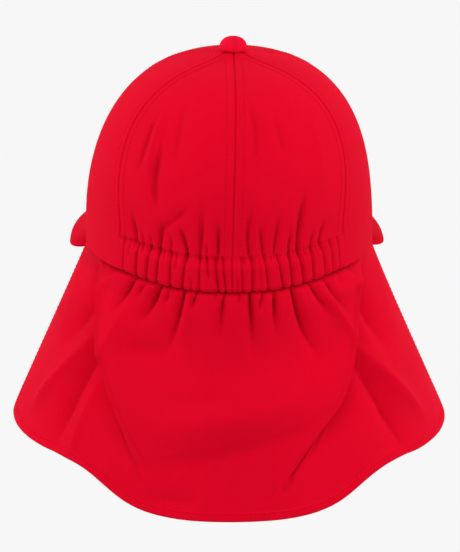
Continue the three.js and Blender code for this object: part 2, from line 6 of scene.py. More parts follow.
import bpy
import numpy as np
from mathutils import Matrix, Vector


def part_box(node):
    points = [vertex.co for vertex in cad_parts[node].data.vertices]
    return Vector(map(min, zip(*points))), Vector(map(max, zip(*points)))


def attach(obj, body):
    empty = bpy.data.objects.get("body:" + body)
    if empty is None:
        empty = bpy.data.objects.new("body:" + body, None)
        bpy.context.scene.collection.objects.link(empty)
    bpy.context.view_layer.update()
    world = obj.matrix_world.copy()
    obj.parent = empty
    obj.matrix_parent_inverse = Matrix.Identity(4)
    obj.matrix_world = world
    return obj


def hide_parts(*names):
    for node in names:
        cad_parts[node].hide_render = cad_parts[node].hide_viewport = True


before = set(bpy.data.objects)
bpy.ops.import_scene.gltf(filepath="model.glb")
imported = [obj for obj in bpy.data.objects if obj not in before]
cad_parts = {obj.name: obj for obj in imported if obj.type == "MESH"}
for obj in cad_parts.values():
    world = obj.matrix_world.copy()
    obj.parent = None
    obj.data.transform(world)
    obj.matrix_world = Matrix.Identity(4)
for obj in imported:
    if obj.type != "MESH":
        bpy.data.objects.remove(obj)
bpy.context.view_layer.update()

# Crown panels
# Six gores of piece-dyed red cotton twill, matt and a little fuzzy, sewn edge to edge. The two
# back gores end above the elastic casing, which gathers them, and the other four at the rim.
cloth_red = (0.74, 0.001, 0.018, 1.0)
# Painted shade: the darker red below is mixed into the cloth where it lies deep in a fold.
crease_shade_red = (0.44, 0.0, 0.008, 1.0)
fuzz_red = (1.0, 0.03, 0.15, 1.0)
fuzz_weight = 0.09
fuzz_roughness = 0.5
cloth_gloss = 0.03
cloth_roughness = 0.76
roughness_spread = 0.2
twill_pitch = 0.62
twill_depth = 0.00012
twill_mottle = 0.10
ridge_height = 0.35
# Painted highlight: the next value lightens the colour a little along each twill ridge.
ridge_painted_highlight = 0.03
thread_height = 0.12
slub_height = 0.6
slub_stretch = (0.9, 0.35, 1.0)
patch_scale = 0.13


def group_node(tree, kind, **settings):
    """A node of one kind in a tree, with its plain settings made."""
    node = tree.nodes.new(kind)
    for name, value in settings.items():
        setattr(node, name, value)
    return node


def make_twill_group():
    """Cotton twill on the cloth's own UV map, in millimetres. Height: slanting ridges of one sine,
    broken along the thread by a second sine, with slubs of noise. Colour: the cloth's, darkened
    in creases by painted shade, lightened a little along each ridge as a painted highlight, and a
    few percent lighter or darker in soft patches."""
    group = bpy.data.node_groups.new("twill_cotton", "ShaderNodeTree")
    sockets = (
        ("Cloth", "INPUT", "Color"), ("Crease shade", "INPUT", "Color"), ("Pitch", "INPUT", "Float"),
        ("Mottle", "INPUT", "Float"), ("Colour", "OUTPUT", "Color"),
        ("Roughness", "OUTPUT", "Float"), ("Height", "OUTPUT", "Float"))
    for name, way, kind in sockets:
        group.interface.new_socket(name=name, in_out=way, socket_type="NodeSocket" + kind)
    inside = group_node(group, "NodeGroupInput")
    outside = group_node(group, "NodeGroupOutput")
    link = group.links.new

    def maths(operation, first, second=None, third=None):
        """The result of a Math node in the group, on sockets or on plain numbers."""
        node = group_node(group, "ShaderNodeMath", operation=operation)
        for place, value in enumerate((first, second, third)):
            if value is None:
                continue
            if isinstance(value, bpy.types.NodeSocket):
                link(value, node.inputs[place])
            else:
                node.inputs[place].default_value = value
        return node.outputs[0]

    chart = group_node(group, "ShaderNodeUVMap", uv_map="cloth")
    split = group_node(group, "ShaderNodeSeparateXYZ")
    link(chart.outputs[0], split.inputs[0])
    across, along = split.outputs[0], split.outputs[1]
    wave = maths("DIVIDE", 2 * math.pi, inside.outputs["Pitch"])
    ridge = maths("SINE", maths("MULTIPLY", maths("ADD", across, along), wave))
    thread = maths("SINE", maths("MULTIPLY", across, maths("MULTIPLY", wave, 2.0)))
    threads = maths("MULTIPLY", thread, thread_height)
    weave = maths("ADD", maths("MULTIPLY", ridge, ridge_height), threads)
    slub = group_node(group, "ShaderNodeTexNoise", noise_dimensions="3D")
    stretch = group_node(group, "ShaderNodeVectorMath", operation="MULTIPLY")
    link(chart.outputs[0], stretch.inputs[0])
    stretch.inputs[1].default_value = slub_stretch
    link(stretch.outputs[0], slub.inputs["Vector"])
    slub.inputs["Scale"].default_value = 1.0
    slub.inputs["Detail"].default_value = 3.0
    slubs = maths("MULTIPLY", slub.outputs[0], slub_height)
    link(maths("ADD", weave, slubs), outside.inputs["Height"])
    patches = group_node(group, "ShaderNodeTexNoise", noise_dimensions="3D")
    link(chart.outputs[0], patches.inputs["Vector"])
    patches.inputs["Scale"].default_value = patch_scale
    patches.inputs["Detail"].default_value = 4.0
    # Painted shade: the fold-depth attribute mixes the darker crease red into the cloth's colour.
    depth = group_node(group, "ShaderNodeAttribute", attribute_name="crease_shade")
    crease_shaded = group_node(group, "ShaderNodeMix", data_type="RGBA")
    link(depth.outputs["Fac"], crease_shaded.inputs["Factor"])
    link(inside.outputs["Cloth"], crease_shaded.inputs[6])
    link(inside.outputs["Crease shade"], crease_shaded.inputs[7])
    mottled = group_node(group, "ShaderNodeHueSaturation")
    patch = maths("SUBTRACT", patches.outputs[0], 0.5)
    lift = maths("MULTIPLY_ADD", patch, inside.outputs["Mottle"], 1.0)
    # Painted highlight: the colour is lifted a little on each twill ridge.
    link(maths("MULTIPLY_ADD", ridge, ridge_painted_highlight, lift), mottled.inputs["Value"])
    link(crease_shaded.outputs[2], mottled.inputs["Color"])
    link(mottled.outputs[0], outside.inputs["Colour"])
    rough = maths("MULTIPLY_ADD", patches.outputs[0], roughness_spread, cloth_roughness)
    link(rough, outside.inputs["Roughness"])
    return group


twill = make_twill_group()


def cloth_material(name, red=cloth_red, weave_depth=twill_depth, mottle=twill_mottle):
    """One cloth: the twill group into a rough shader with cotton fuzz as sheen. The depth of its
    weave is in metres."""
    material = bpy.data.materials.new(name)
    material.use_nodes = True
    tree = material.node_tree
    shader = tree.nodes["Principled BSDF"]
    weave = group_node(tree, "ShaderNodeGroup", node_tree=twill)
    weave.inputs["Cloth"].default_value = red
    weave.inputs["Crease shade"].default_value = crease_shade_red
    weave.inputs["Pitch"].default_value = twill_pitch
    weave.inputs["Mottle"].default_value = mottle
    bump = group_node(tree, "ShaderNodeBump")
    bump.inputs["Strength"].default_value = 1.0
    bump.inputs["Distance"].default_value = weave_depth
    tree.links.new(weave.outputs["Colour"], shader.inputs["Base Color"])
    tree.links.new(weave.outputs["Roughness"], shader.inputs["Roughness"])
    tree.links.new(weave.outputs["Height"], bump.inputs["Height"])
    tree.links.new(bump.outputs[0], shader.inputs["Normal"])
    shader.inputs["Specular IOR Level"].default_value = cloth_gloss
    shader.inputs["Sheen Weight"].default_value = fuzz_weight
    shader.inputs["Sheen Roughness"].default_value = fuzz_roughness
    shader.inputs["Sheen Tint"].default_value = fuzz_red
    return material


crown_cloth = cloth_material("crown_twill")
MM = 0.001
rim_half_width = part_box("crown_panel_side_left")[1][0] / MM
rim_half_length = -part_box("crown_panel_front_left")[0][1] / MM
crown_height = 101.5
crown_lean = 2.2
dome_fullness = 2.64
apex_rise = 2.6
apex_spread = 13
front_lift = 5
peak_turn = 68
rear_seam_turn = 50
front_seam_turn = 120
seam_bow = 8.5
seam_bow_start = 0.1
seam_bow_reach = 0.85
side_lift = 2.4
back_sag = 0.8
back_sag_turn = 30
casing_height = 20
casing_top_sag = 1.4
casing_pinch = 1.8
casing_pinch_reach = 22
pinch_full_share = 0.55
pinch_end_share = 1.3
crown_wall = 1.0
crown_fold_depth = 2.5
crown_fold_width = 4.2
crown_fold_start = 0.19
round_share = 0.65
sharp_share = 0.35
sharp_width = 0.4
seam_depth = 0.9
seam_width = 0.45
allowance_lift = 0.12
stitch_offset = 4.4
stitch_groove = 0.10
stitch_groove_width = 0.6
crease_look = 2.6
crease_reach = 1.1
sharp_edge = math.radians(55)
stem_radius = 2.0
arc = math.radians(1)

# A fold's turn and height at its start, on its way and at its end, then its width and depth.
# Turns are shares of the side-back seam's, and heights are shares of the crown's.
crown_folds = [
    (0.83, 0.19, 0.86, 0.27, 0.91, 0.36, 0.70, -0.8),
    (0.76, 0.19, 0.77, 0.23, 0.78, 0.28, 0.40, -0.5),
    (0.68, 0.19, 0.69, 0.22, 0.71, 0.26, 0.40, -0.5),
    (0.61, 0.19, 0.60, 0.26, 0.58, 0.37, 0.70, -1.0),
    (0.51, 0.19, 0.51, 0.23, 0.52, 0.29, 0.40, -0.7),
    (0.37, 0.19, 0.40, 0.25, 0.46, 0.36, 0.70, -1.1),
    (0.27, 0.19, 0.26, 0.27, 0.28, 0.50, 0.90, -0.8),
    (0.21, 0.19, 0.21, 0.22, 0.22, 0.25, 0.35, -0.5),
    (0.12, 0.19, 0.12, 0.27, 0.12, 0.38, 0.50, -1.0),
    (-0.13, 0.19, -0.12, 0.26, -0.18, 0.46, 0.60, -0.8),
    (-0.24, 0.19, -0.23, 0.26, -0.20, 0.38, 0.50, -0.7),
    (-0.33, 0.19, -0.35, 0.27, -0.38, 0.42, 0.50, -0.7),
    (-0.46, 0.19, -0.47, 0.24, -0.48, 0.31, 0.45, -0.9),
    (-0.54, 0.19, -0.56, 0.31, -0.66, 0.54, 0.80, -1.0),
    (-0.66, 0.19, -0.67, 0.22, -0.69, 0.27, 0.40, -0.6),
    (-0.74, 0.19, -0.77, 0.25, -0.82, 0.33, 0.50, -0.6),
    (0.60, 0.33, 0.70, 0.50, 0.70, 0.72, 1.30, -0.8),
    (0.34, 0.44, 0.48, 0.35, 0.63, 0.27, 0.90, -0.5),
    (0.88, 0.50, 0.885, 0.66, 0.90, 0.82, 0.60, -0.4),
    (0.78, 0.46, 0.80, 0.66, 0.85, 0.88, 0.90, 0.5),
    (0.54, 0.55, 0.56, 0.70, 0.64, 0.90, 1.30, -0.35),
    (-0.14, 0.60, -0.20, 0.76, -0.14, 0.93, 1.20, -0.35),
    (-0.46, 0.62, -0.44, 0.74, -0.44, 0.86, 1.20, -0.30),
    (-0.78, 0.42, -0.82, 0.60, -0.88, 0.80, 1.30, 0.35),
]


def ease(value, low, high):
    """Smooth step: 0 up to low, 1 from high on, 3 t squared - 2 t cubed of the share between."""
    share = np.clip((value - low) / (high - low), 0, 1)
    return share * share * (3 - 2 * share)


def fade(distance, width):
    """A rounded fold: e to the power of minus the square of distance over width."""
    return np.exp(-((distance / width) ** 2))


def fold_share(x, y, path, width, firm):
    """Depth from 0 to 1 of a fold along a bow through three places, which is a parabola over the
    straight line between its ends: the distance to the bow into a wide rounded valley with a
    narrow one in it. A firm fold, gathered into a seam, starts narrow and full and widens as it
    dies away. A loose one dies away at both ends."""
    (x0, y0), (x_bow, y_bow), (x1, y1) = path
    dx, dy, length = x1 - x0, y1 - y0, math.dist(path[0], path[2])
    place = ((x - x0) * dx + (y - y0) * dy) / length ** 2
    beside = ((y - y0) * dx - (x - x0) * dy) / length
    bend = ((x_bow - x0) * dx + (y_bow - y0) * dy) / length ** 2
    bow = ((y_bow - y0) * dx - (x_bow - x0) * dy) / length
    along = np.clip(place, 0, 1)
    offset = beside - bow * along * (1 - along) / (bend * (1 - bend))
    nearest = np.hypot(offset, (place - along) * length)
    if firm:
        kept = 1 - ease(along, 0.25, 1)
        width = width * (0.5 + 1.1 * along)
    else:
        kept = ease(along, 0, 0.4) * (1 - ease(along, 0.6, 1))
    sharp = sharp_share * fade(nearest, width * sharp_width)
    return kept * (round_share * fade(nearest, width) + sharp)


def folds_relief(x, y, folds, scale, width, depth, firm_start):
    """Relief of a table of folds: the sum of each fold's depth times its share, along the bow
    through its three places. A fold that starts no farther on than the firm start is firm."""
    relief = 0 * x
    for *places, fold_width, fold_depth in folds:
        path = np.reshape(places, (3, 2)) * scale
        share = fold_share(x, y, path, fold_width * width, places[1] <= firm_start)
        relief = relief + fold_depth * depth * share
    return relief


def dome_height(rise):
    """Height of the dome's profile: crown height times sine of the rise to the power 2 over N."""
    return crown_height * np.sin(rise * np.pi / 2) ** (2 / dome_fullness)


def rise_at(height):
    """The rise at which the dome's profile has a height: the same formula turned round."""
    return np.arcsin((height / crown_height) ** (dome_fullness / 2)) / (np.pi / 2)


def rise_at_radius(radius):
    """The rise at which the dome's side has a radius: the shrink's formula turned round."""
    return math.acos((radius / rim_half_width) ** (dome_fullness / 2)) / (math.pi / 2)


def casing_top(turn):
    """Height of the casing's upper edge, which sags by half a wave of cosine at the centre back."""
    return casing_height - casing_top_sag * np.cos(np.clip(turn / rear_seam_turn, -1, 1) * np.pi / 2)


def dome_shrink(rise):
    """Share of the rim's oval that is left at a rise: its cosine to the power 2 over N."""
    return np.clip(np.cos(rise * np.pi / 2), 0, 1) ** (2 / dome_fullness)


def rim_wave(turn):
    """How much higher than level the rim runs: lifted by smooth steps over the peak and at the
    ears, and sagging in a rounded dip at the back."""
    from_back = np.minimum(np.abs(turn), 360 - np.abs(turn))
    over_peak = front_lift * ease(from_back, 180 - peak_turn, 180)
    at_ears = side_lift * ease(from_back, 15, 55) * (1 - ease(from_back, 80, 180 - peak_turn))
    return over_peak + at_ears - back_sag * fade(from_back, back_sag_turn)


def dome_point(turn, rise):
    """The smooth dome: the rim's oval times the shrink, at the dome's height, with a hump at the
    apex, a lean to the right above the casing, and the rim's wave, which dies away upwards."""
    x = rim_half_width * dome_shrink(rise) * np.sin(turn * arc)
    y = rim_half_length * dome_shrink(rise) * np.cos(turn * arc)
    height = dome_height(rise)
    hump = apex_rise * fade(np.hypot(x, y), apex_spread)
    wave = rim_wave(turn) * (1 - height / crown_height) ** 2
    lean = crown_lean * ease(height, casing_height, crown_height)
    return np.stack([x - lean, y, height + hump + wave], axis=-1)


def unit(vectors):
    """Vectors over their own lengths, which makes them one long."""
    return vectors / np.maximum(np.linalg.norm(vectors, axis=-1, keepdims=True), 1e-9)


def dome_normal(turn, rise):
    """Outward direction of the dome: the gradient of its power oval, made one long."""
    angle = rise * np.pi / 2
    flat = np.clip(np.cos(angle), 0, 1) ** (2 - 2 / dome_fullness)
    steep = np.sin(angle) ** (2 - 2 / dome_fullness)
    x = np.sin(turn * arc) * flat / rim_half_width
    y = np.cos(turn * arc) * flat / rim_half_length
    return unit(np.stack([x, y, steep / crown_height + 0 * x], axis=-1))


def left_rear_seam(rise):
    """Turn of the left side-back seam: its turn at the rim plus half a sine wave of bow."""
    bowed = np.clip((rise - seam_bow_start) / seam_bow_reach, 0, 1)
    return rear_seam_turn + seam_bow * np.sin(np.pi * bowed)


def right_rear_seam(rise):
    """Turn of the right side-back seam: minus the left one's."""
    return -left_rear_seam(rise)


def straight_seam(turn):
    """A seam that runs straight up to the apex: the same turn at every rise."""
    return lambda rise: 0 * rise + turn


# The centre-front seam, last, is listed as a turn of 180 and of -180.
crown_seams = [
    straight_seam(0), left_rear_seam, right_rear_seam, straight_seam(-front_seam_turn),
    straight_seam(front_seam_turn), straight_seam(180), straight_seam(-180)]


def crown_relief(turn, rise):
    """How far the crown's cloth stands out from the dome: the folds of the table, firm where they
    start at the casing's edge, less the casing's pull."""
    height = dome_height(rise)
    pulled = 1 - ease(np.abs(turn), rear_seam_turn * pinch_full_share, rear_seam_turn * pinch_end_share)
    pull = casing_pinch * pulled * fade(np.maximum(0, height - casing_height), casing_pinch_reach)
    per_turn = arc * rim_half_length
    scale = np.array([rear_seam_turn * per_turn, crown_height])
    return folds_relief(
        turn * per_turn, height, crown_folds, scale, crown_fold_width, crown_fold_depth,
        crown_fold_start) - pull


def round_speed(turn, rise):
    """Millimetres round the crown for a degree of turn: the oval's own speed times the shrink."""
    return arc * dome_shrink(rise) * np.hypot(
        rim_half_width * np.cos(turn * arc), rim_half_length * np.sin(turn * arc))


def from_seams(turn, rise):
    """Distance round the crown, in millimetres, to the nearest of its six seams."""
    wrapped = (turn + 180) % 360 - 180
    turns_away = [np.abs(wrapped - seam(rise)) for seam in crown_seams]
    return np.min(turns_away, axis=0) * round_speed(turn, rise)


def crown_surface(turn, rise, depth=0.0):
    """The crown's cloth: dome plus normal times (relief, the seam's sunk line, the raised
    allowance between the topstitching and the groove under each row of it, less the depth)."""
    away = from_seams(turn, rise)
    seam = -seam_depth * fade(away, seam_width)
    allowance = allowance_lift * (1 - ease(away, stitch_offset - 0.6, stitch_offset + 0.9))
    groove = -stitch_groove * fade(away - stitch_offset, stitch_groove_width)
    outward = crown_relief(turn, rise) + seam + allowance + groove - depth
    return dome_point(turn, rise) + dome_normal(turn, rise) * outward[..., None]


def near_mean(values, reach):
    """A running mean down the first axis, over the reach to either side, with the ends repeated."""
    summed = np.cumsum(np.pad(values, ((reach, reach), (0, 0)), mode="edge"), axis=0)
    return (summed[2 * reach:] - summed[:len(values)]) / (2 * reach)


def cloth_mesh(name, outer, inner, material):
    """One closed wall between an outer and an inner grid (columns clockwise seen from above, rows
    downward): both faces of the grids and a strip along each border. The UV map holds the
    distances along the rows and down the columns in millimetres, evened out between those near
    by, so that the weave isn't torn where a fold takes up cloth."""
    across, down = outer.shape[:2]
    front = np.arange(across * down).reshape(across, down)
    back = front + across * down

    def quads(a, b, c, d):
        """Faces from four arrays of corners, one face for each place in them."""
        return np.stack([a.ravel(), b.ravel(), c.ravel(), d.ravel()], axis=1)

    faces = np.concatenate([
        quads(front[:-1, :-1], front[1:, :-1], front[1:, 1:], front[:-1, 1:]),
        quads(back[:-1, :-1], back[:-1, 1:], back[1:, 1:], back[1:, :-1]),
        quads(front[:-1, 0], back[:-1, 0], back[1:, 0], front[1:, 0]),
        quads(front[:-1, -1], front[1:, -1], back[1:, -1], back[:-1, -1]),
        quads(front[0, :-1], front[0, 1:], back[0, 1:], back[0, :-1]),
        quads(front[-1, :-1], back[-1, :-1], back[-1, 1:], front[-1, 1:]),
    ])
    places = np.concatenate([outer.reshape(-1, 3), inner.reshape(-1, 3)]) * MM
    u = np.cumsum(np.linalg.norm(np.diff(outer, axis=0, prepend=outer[:1]), axis=2), axis=0)
    v = np.cumsum(np.linalg.norm(np.diff(outer, axis=1, prepend=outer[:, :1]), axis=2), axis=1)
    u = near_mean((u - u[across // 2]).T, max(1, down // 12)).T
    v = near_mean(v, max(1, across // 10))
    chart = np.tile(np.stack([u, v], axis=-1).reshape(-1, 2), (2, 1))
    return quad_object(name, places, faces, chart, material, np.tile(crease_shade_mask(outer).ravel(), 2))


def crease_shade_mask(outer):
    """How deep each place of a grid lies in a fold, from 0 to 1: how far the cloth some
    millimetres away on its four sides stands above it, along its normal, over the crease reach.
    It is the mask of the painted shade in creases."""
    steps = [np.linalg.norm(np.diff(outer, axis=axis), axis=2).mean() for axis in (0, 1)]
    normal = unit(np.cross(np.gradient(outer, axis=0), np.gradient(outer, axis=1)))
    above = 0
    for axis in (0, 1):
        count = outer.shape[axis]
        jump = max(1, round(crease_look / steps[axis]))
        for move in (-jump, jump):
            beside = np.take(outer, np.clip(np.arange(count) + move, 0, count - 1), axis=axis)
            above = above + np.sum((beside - outer) * normal, axis=2) / 4
    return np.clip(above / crease_reach, 0, 1)


def quad_object(name, places, faces, chart, material, crease_shade):
    """An object of four-sided smooth faces from arrays of places, faces, cloth UVs and the mask of
    painted crease shade.
    """
    mesh = bpy.data.meshes.new(name)
    mesh.vertices.add(len(places))
    mesh.vertices.foreach_set("co", places.astype(np.float32).ravel())
    mesh.loops.add(faces.size)
    mesh.loops.foreach_set("vertex_index", faces.astype(np.int32).ravel())
    mesh.polygons.add(len(faces))
    mesh.polygons.foreach_set("loop_start", np.arange(0, faces.size, 4, dtype=np.int32))
    layer = mesh.uv_layers.new(name="cloth")
    layer.uv.foreach_set("vector", chart[faces.ravel()].astype(np.float32).ravel())
    depth = mesh.attributes.new("crease_shade", "FLOAT", "POINT")
    depth.data.foreach_set("value", crease_shade.astype(np.float32))
    mesh.update(calc_edges=True)
    mesh.polygons.foreach_set("use_smooth", np.ones(len(faces), dtype=bool))
    mesh.set_sharp_from_angle(angle=sharp_edge)
    mesh.materials.append(material)
    piece = bpy.data.objects.new(name, mesh)
    bpy.context.scene.collection.objects.link(piece)
    return piece


def dense_ends(count, share):
    """Places from 0 to 1 that crowd towards both ends: even steps mixed with half a cosine."""
    even = np.linspace(0, 1, count)
    return (1 - share) * even + share * (1 - np.cos(np.pi * even)) / 2


top_rise = rise_at_radius(stem_radius)
casing_rise = float(rise_at(casing_height))
rises_to_casing = np.linspace(top_rise, casing_rise, 120)
rises_to_rim = np.concatenate([rises_to_casing, np.linspace(casing_rise, 0, 16)[1:]])


def crown_panel(node, before, after, rises, across):
    """One gore: the crown's surface between two seams, on rows from the apex down. Where it ends
    above the casing, the rows are stretched so that the last is the casing's upper edge."""
    share = dense_ends(across, 0.8)[:, None]
    rise = np.broadcast_to(rises, (across, len(rises)))
    if rises[-1] > 0:
        last = rises[-1:]
        foot = rise_at(casing_top(before(last) + (after(last) - before(last)) * share))
        rise = top_rise + (foot - top_rise) * (rise - top_rise) / (rises[-1] - top_rise)
    turn = before(rise) + (after(rise) - before(rise)) * share
    piece = cloth_mesh(
        node + "_cloth", crown_surface(turn, rise), crown_surface(turn, rise, crown_wall), crown_cloth)
    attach(piece, "root")
    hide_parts(node)


gores = [
    ("crown_panel_back_left", straight_seam(0), left_rear_seam, rises_to_casing, 130),
    ("crown_panel_back_right", right_rear_seam, straight_seam(0), rises_to_casing, 130),
    ("crown_panel_side_left", left_rear_seam, straight_seam(front_seam_turn), rises_to_rim, 100),
    ("crown_panel_side_right", straight_seam(-front_seam_turn), right_rear_seam, rises_to_rim, 100),
    ("crown_panel_front_left", straight_seam(front_seam_turn), straight_seam(180), rises_to_rim, 90),
    ("crown_panel_front_right", straight_seam(-180), straight_seam(-front_seam_turn), rises_to_rim, 90),
]
for gore in gores:
    crown_panel(*gore)

# Crown topstitching
# Two rows of thread, dyed to match, beside each of the six seams. They hold the opened allowance
# flat inside. Each stitch is a short thread that dips into the cloth at both ends.
thread_red = (0.60, 0.001, 0.014, 1.0)
thread_depth = 0.00005
thread_mottle = 0.05
thread_thickness = 0.42
stitch_pitch = 2.3
stitch_length = 1.75
stitch_arch = 0.16
stitch_sink = 0.10
stitch_top_radius = 11
sewing_thread = cloth_material("matching_thread", thread_red, thread_depth, thread_mottle)


def stitch_row(places, normals, pitch):
    """Rounded bars along a path of places, one for each pitch. A bar is rings of six points: the
    ring's radius is the sine of its share of the length to the power 0.6, and its middle stands
    on a low arch above the cloth. Returns the places and faces of the whole row."""
    step = np.linalg.norm(np.diff(places, axis=0), axis=1)
    run = np.concatenate([[0], np.cumsum(step)])
    count = max(1, int(run[-1] / pitch))
    at = (np.arange(count) + 0.5) * run[-1] / count

    def on_row(values, distance):
        """The path's values at distances along it, by straight lines between its places."""
        return np.stack([np.interp(distance, run, column) for column in values.T], axis=1)

    centre, up = on_row(places, at), on_row(normals, at)
    along = unit(on_row(places, at + 0.5) - on_row(places, at - 0.5))
    up = unit(up - along * np.sum(up * along, axis=1, keepdims=True))
    side = np.cross(along, up)
    rings, sides = 5, 6
    share = np.linspace(0.06, 0.94, rings)
    offset = (share - 0.5) * stitch_length
    radius = thread_thickness / 2 * np.sin(np.pi * share) ** 0.6
    arch = stitch_arch * np.sin(np.pi * share) - stitch_sink
    angle = np.arange(sides) * 2 * np.pi / sides
    middle = (centre[:, None] + along[:, None] * offset[None, :, None]
              + up[:, None] * arch[None, :, None])
    out = (up[:, None] * np.cos(angle)[None, :, None] + side[:, None] * np.sin(angle)[None, :, None])
    grid = middle[:, :, None] + out[:, None] * radius[None, :, None, None]
    number = np.arange(rings * sides).reshape(rings, sides)
    turned = np.roll(number, -1, axis=1)
    body = np.stack([number[:-1], turned[:-1], turned[1:], number[1:]], axis=-1).reshape(-1, 4)
    caps = np.array([[3, 2, 1, 0], [5, 4, 3, 0]])
    ends = np.array([[0, 1, 2, 3], [0, 3, 4, 5]]) + (rings - 1) * sides
    faces = np.concatenate([body[:, ::-1], caps[:, ::-1], ends[:, ::-1]])
    every = faces[None] + (np.arange(count) * rings * sides)[:, None, None]
    return grid.reshape(-1, 3), every.reshape(-1, 4)


def stitching(name, rows):
    """Joins rows of stitches into one piece of thread."""
    places, faces, start = [], [], 0
    for row_places, row_faces in rows:
        places.append(row_places)
        faces.append(row_faces + start)
        start += len(row_places)
    places = np.concatenate(places)
    # The thread gets none of the painted crease shade.
    unshaded = np.zeros(len(places))
    piece = quad_object(
        name, places * MM, np.concatenate(faces), places[:, [0, 2]], sewing_thread, unshaded)
    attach(piece, "root")


def beside_seam(seam, side, rises):
    """Places and normals on the crown along one side of a seam, at the topstitching's offset."""
    turn = seam(rises)
    turn = turn + side * stitch_offset / round_speed(turn, rises)
    return crown_surface(turn, rises), dome_normal(turn, rises)


stitch_top = rise_at_radius(stitch_top_radius)
back_rises = np.linspace(stitch_top, casing_rise + 0.004, 260)
rim_rises = np.linspace(stitch_top, 0.03, 300)
seam_rises = [back_rises] * 3 + [rim_rises] * 3
crown_rows = []
for side in (-1, 1):
    for seam, rises in zip(crown_seams, seam_rises):
        crown_rows.append(stitch_row(*beside_seam(seam, side, rises), stitch_pitch))
stitching("crown_topstitching", crown_rows)

# Crown button
# A round of the same cloth drawn tight over a domed button and gathered beneath it, riveted
# through the hole where the six gores meet.
# Painted light: the button's red is a lighter copy of the cloth's, standing in for the light its domed
# top catches.
lit_button_red = (0.88, 0.004, 0.032, 1.0)
button_low, button_high = (np.array(corner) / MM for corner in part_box("crown_button"))
button_radius = (button_high[0] - button_low[0]) / 2
button_stem = 2.4
button_seat = button_low[2] + button_stem
button_tall = button_high[2] - button_seat
button_sink = 0.7
button_neck = 0.22
button_shell = 0.86
button_skirt = 0.34 * button_tall
skirt_share = 0.32
pleat_count = 13
pleat_depth = 0.02


def covered_button(angle, share):
    """A turned profile: the share from 0 to 1 runs from the stem out under the skirt, round the
    widest place and up over the dome, each as a quarter wave. Small pleats ripple the skirt."""
    over = np.clip((share - skirt_share) / (1 - skirt_share), 0, 1) * np.pi / 2
    under = np.clip(share / skirt_share, 0, 1) * np.pi / 2
    skirt_wide = button_neck + (1 - button_neck) * np.sin(under)
    skirt_high = button_skirt * (1 - np.cos(under)) ** 1.2
    dome_high = button_skirt + (button_tall - button_skirt) * np.sin(over)
    wide = np.where(share > skirt_share, np.cos(over) ** 0.8, skirt_wide)
    high = np.where(share > skirt_share, dome_high, skirt_high)
    pleats = 1 + pleat_depth * np.sin(pleat_count * angle) * fade(share - 0.3, 0.12)
    radius = button_radius * wide * pleats
    x = radius * np.sin(angle) - crown_lean
    return np.stack([x, radius * np.cos(angle), button_seat - button_sink + high], axis=-1)


button_cloth = cloth_material("button_twill", lit_button_red)
button_angle, button_share = np.meshgrid(
    np.linspace(0, 2 * np.pi, 61), np.linspace(1, 0, 40), indexing="ij")
button_outer = covered_button(button_angle, button_share)
button_middle = np.array([-crown_lean, 0, button_seat + 1.0])
button_inner = button_middle + (button_outer - button_middle) * button_shell
button = cloth_mesh("covered_button", button_outer, button_inner, button_cloth)
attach(button, "root")
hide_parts("crown_button")

# Elastic casing
# A cloth tube across the back between the side-back seams, with a flat elastic inside. Sewn
# while the elastic is stretched, it draws up into puffed ribs between sharp slanting valleys.
casing_cloth = cloth_material("casing_twill")
casing_depth = 4.8
casing_ridge = 0.2
casing_ridge_share = 0.62
casing_foot_sink = 0.7
casing_foot_share = 0.09
casing_valley = 2.0
casing_valley_width = 1.3
casing_sharp_width = 0.5
casing_lean = 0.5
casing_scallop = 0.4
casing_scallop_share = 0.2
casing_wall = 0.9
valley_end_share = 0.15
top_valley_share = 0.88
top_valley_loss = 0.6
stitch_end_share = 0.985
casing_stitch_share = 0.93

# A valley's place at the top and at the foot, in shares of the side-back seam's turn, its depth,
# the part of it that is wide, and its reach: 1 runs the whole height, a smaller one is the share
# that it runs up to the top, and minus a share is one that runs up from the foot.
casing_valleys = [
    (0.940, 0.955, 0.45, 0.3, 1.0),
    (0.872, 0.910, 0.35, 0.5, 0.5),
    (0.802, 0.822, 0.85, 0.6, 1.0),
    (0.757, 0.745, 0.45, 0.4, 0.3),
    (0.690, 0.722, 0.90, 0.6, 1.0),
    (0.651, 0.640, 0.40, 0.4, 0.25),
    (0.600, 0.628, 0.90, 0.6, 1.0),
    (0.555, 0.545, 0.45, 0.4, 0.25),
    (0.500, 0.507, 0.90, 0.6, 1.0),
    (0.458, 0.445, 0.55, 0.5, 0.45),
    (0.376, 0.406, 1.00, 0.6, 1.0),
    (0.327, 0.327, 0.45, 0.5, -0.3),
    (0.262, 0.268, 0.75, 0.5, 1.0),
    (0.213, 0.180, 0.80, 0.5, 0.6),
    (0.147, 0.116, 1.00, 0.7, 1.0),
    (0.084, 0.058, 0.80, 0.5, 1.0),
    (0.010, 0.007, 0.45, 0.0, 1.0),
    (-0.060, -0.074, 0.65, 0.6, 1.0),
    (-0.030, -0.034, 0.45, 0.4, -0.4),
    (-0.086, -0.098, 0.50, 0.4, 0.3),
    (-0.146, -0.148, 0.90, 0.8, 1.0),
    (-0.204, -0.212, 0.30, 0.5, 1.0),
    (-0.248, -0.274, 0.80, 0.6, 1.0),
    (-0.299, -0.320, 0.45, 0.4, 0.25),
    (-0.350, -0.398, 0.90, 0.5, 1.0),
    (-0.445, -0.475, 1.00, 0.6, 1.0),
    (-0.490, -0.515, 0.45, 0.4, 0.25),
    (-0.532, -0.578, 1.00, 0.6, 1.0),
    (-0.587, -0.600, 0.45, 0.4, 0.25),
    (-0.645, -0.668, 0.80, 0.6, 1.0),
    (-0.690, -0.700, 0.35, 0.4, 0.25),
    (-0.748, -0.786, 0.65, 0.6, 1.0),
    (-0.835, -0.870, 0.55, 0.6, 1.0),
    (-0.924, -0.945, 0.40, 0.3, 1.0),
]


